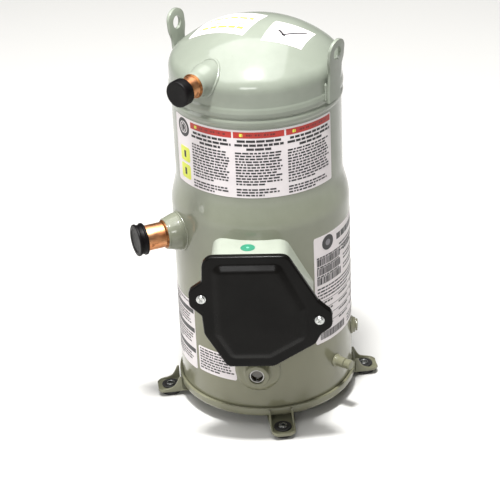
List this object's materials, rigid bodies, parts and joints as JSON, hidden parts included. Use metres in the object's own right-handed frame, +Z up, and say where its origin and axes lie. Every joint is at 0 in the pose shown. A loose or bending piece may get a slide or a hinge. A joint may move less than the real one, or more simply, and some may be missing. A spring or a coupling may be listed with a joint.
{
  "type": "scroll compressor",
  "caption": "Upright hermetic scroll compressor with domed cap, copper suction and discharge stubs, terminal box, lifting ears and rubber-mounted feet.",
  "frame": {"origin": "centre of the bottom cap's flat underside, on the crankshaft axis", "axes": "+Z up along the crankshaft, -Y outward from the terminal cover, +X to the right when the cover faces the viewer"},
  "size_m": [0.3195, 0.3199, 0.5298],
  "materials": {
    "shell_paint": "satin grey-green enamel",
    "box_paint": "light grey-green enamel",
    "copper": "drawn copper tube, lightly stained by brazing",
    "cap_rubber": "moulded black rubber",
    "grommet_rubber": "matt black rubber",
    "cover_plastic": "satin black moulding",
    "zinc_steel": "bright zinc plate",
    "machined_steel": "turned and ground",
    "scroll_iron": "machined grey iron",
    "bearing_bronze": "bronze-lined bush",
    "lamination": "stacked electrical steel",
    "winding": "enamelled copper wire, laced",
    "balance_brass": "cast brass",
    "sight_lens": "clear glass over dark oil"
  },
  "bodies": {
    "casing": {"bottom_cap": "shell_paint", "main_shell": "shell_paint", "top_cap": "shell_paint", "discharge_fitting": "shell_paint", "suction_fitting": "shell_paint", "discharge_tube": "copper", "suction_tube": "copper", "terminal_box": "box_paint", "cover_gasket": "grommet_rubber", "hermetic_terminal": "machined_steel", "sight_glass_boss": "shell_paint", "sight_glass_ring": "machined_steel", "sight_glass_lens": "sight_lens", "oil_valve_body": "shell_paint", "oil_valve_cap": "shell_paint", "equalizer_port": "shell_paint", "equalizer_plug": "shell_paint", "fixed_scroll": "scroll_iron", "crankcase": "scroll_iron", "main_bearing": "bearing_bronze", "lower_bearing_housing": "scroll_iron", "lower_bearing": "bearing_bronze", "stator_core": "lamination", "lower_winding": "winding", "upper_winding": "winding", "check_valve_cage": "machined_steel", "foot_1": "shell_paint", "grommet_1": "grommet_rubber", "sleeve_1": "zinc_steel", "foot_2": "shell_paint", "grommet_2": "grommet_rubber", "sleeve_2": "zinc_steel", "foot_3": "shell_paint", "grommet_3": "grommet_rubber", "sleeve_3": "zinc_steel", "foot_4": "shell_paint", "grommet_4": "grommet_rubber", "sleeve_4": "zinc_steel", "lifting_lug_1": "shell_paint", "lifting_lug_2": "shell_paint", "terminal_pin_1": "zinc_steel", "terminal_pin_2": "zinc_steel", "terminal_pin_3": "zinc_steel"},
    "crank": {"crankshaft": "machined_steel", "rotor": "lamination", "upper_counterweight": "balance_brass", "lower_counterweight": "balance_brass", "oil_pickup": "machined_steel"},
    "orbiter": {"orbiting_scroll": "scroll_iron", "eccentric_bearing": "bearing_bronze"},
    "oldham_link": {"oldham_band": "machined_steel"},
    "oldham": {"oldham_ring": "machined_steel"},
    "valve_disc": {"check_valve_disc": "machined_steel"},
    "cover": {"terminal_cover": "cover_plastic", "cover_screw_1": "zinc_steel", "cover_screw_2": "zinc_steel"},
    "suction_cap": {"suction_plug": "cap_rubber"},
    "discharge_cap": {"discharge_plug": "cap_rubber"}
  },
  "joints": [
    {"name": "crank_spin", "type": "hinge", "parent": "casing", "child": "crank", "pos_m": [0, 0, 0.1912], "axis": [0, 0, 1], "continuous": true},
    {"name": "scroll_orbit", "type": "hinge", "parent": "crank", "child": "orbiter", "pos_m": [0.00631, 0, 0.35181], "axis": [0, 0, 1], "continuous": true},
    {"name": "oldham_carry", "type": "hinge", "parent": "crank", "child": "oldham_link", "pos_m": [0.00315, 0, 0.36328], "axis": [0, 0, 1], "continuous": true},
    {"name": "oldham_level", "type": "hinge", "parent": "oldham_link", "child": "oldham", "pos_m": [0.00631, 0, 0.36328], "axis": [0, 0, 1], "continuous": true},
    {"name": "check_valve_lift", "type": "slide", "parent": "casing", "child": "valve_disc", "axis": [0, 0, 1], "range_m": [0, 0.0055]},
    {"name": "cover_pull", "type": "slide", "parent": "casing", "child": "cover", "axis": [0, -1, 0], "range_m": [0, 0.06]},
    {"name": "suction_cap_pull", "type": "slide", "parent": "casing", "child": "suction_cap", "axis": [-0.9026, -0.4305, 0], "range_m": [0, 0.04]},
    {"name": "discharge_cap_pull", "type": "slide", "parent": "casing", "child": "discharge_cap", "axis": [-0.5736, -0.8192, 0], "range_m": [0, 0.04]}
  ],
  "couplings": [
    {"joint": "scroll_orbit", "follows": "crank_spin", "ratio": -1},
    {"joint": "oldham_carry", "follows": "crank_spin", "ratio": -2},
    {"joint": "oldham_level", "follows": "crank_spin", "ratio": 1}
  ]
}
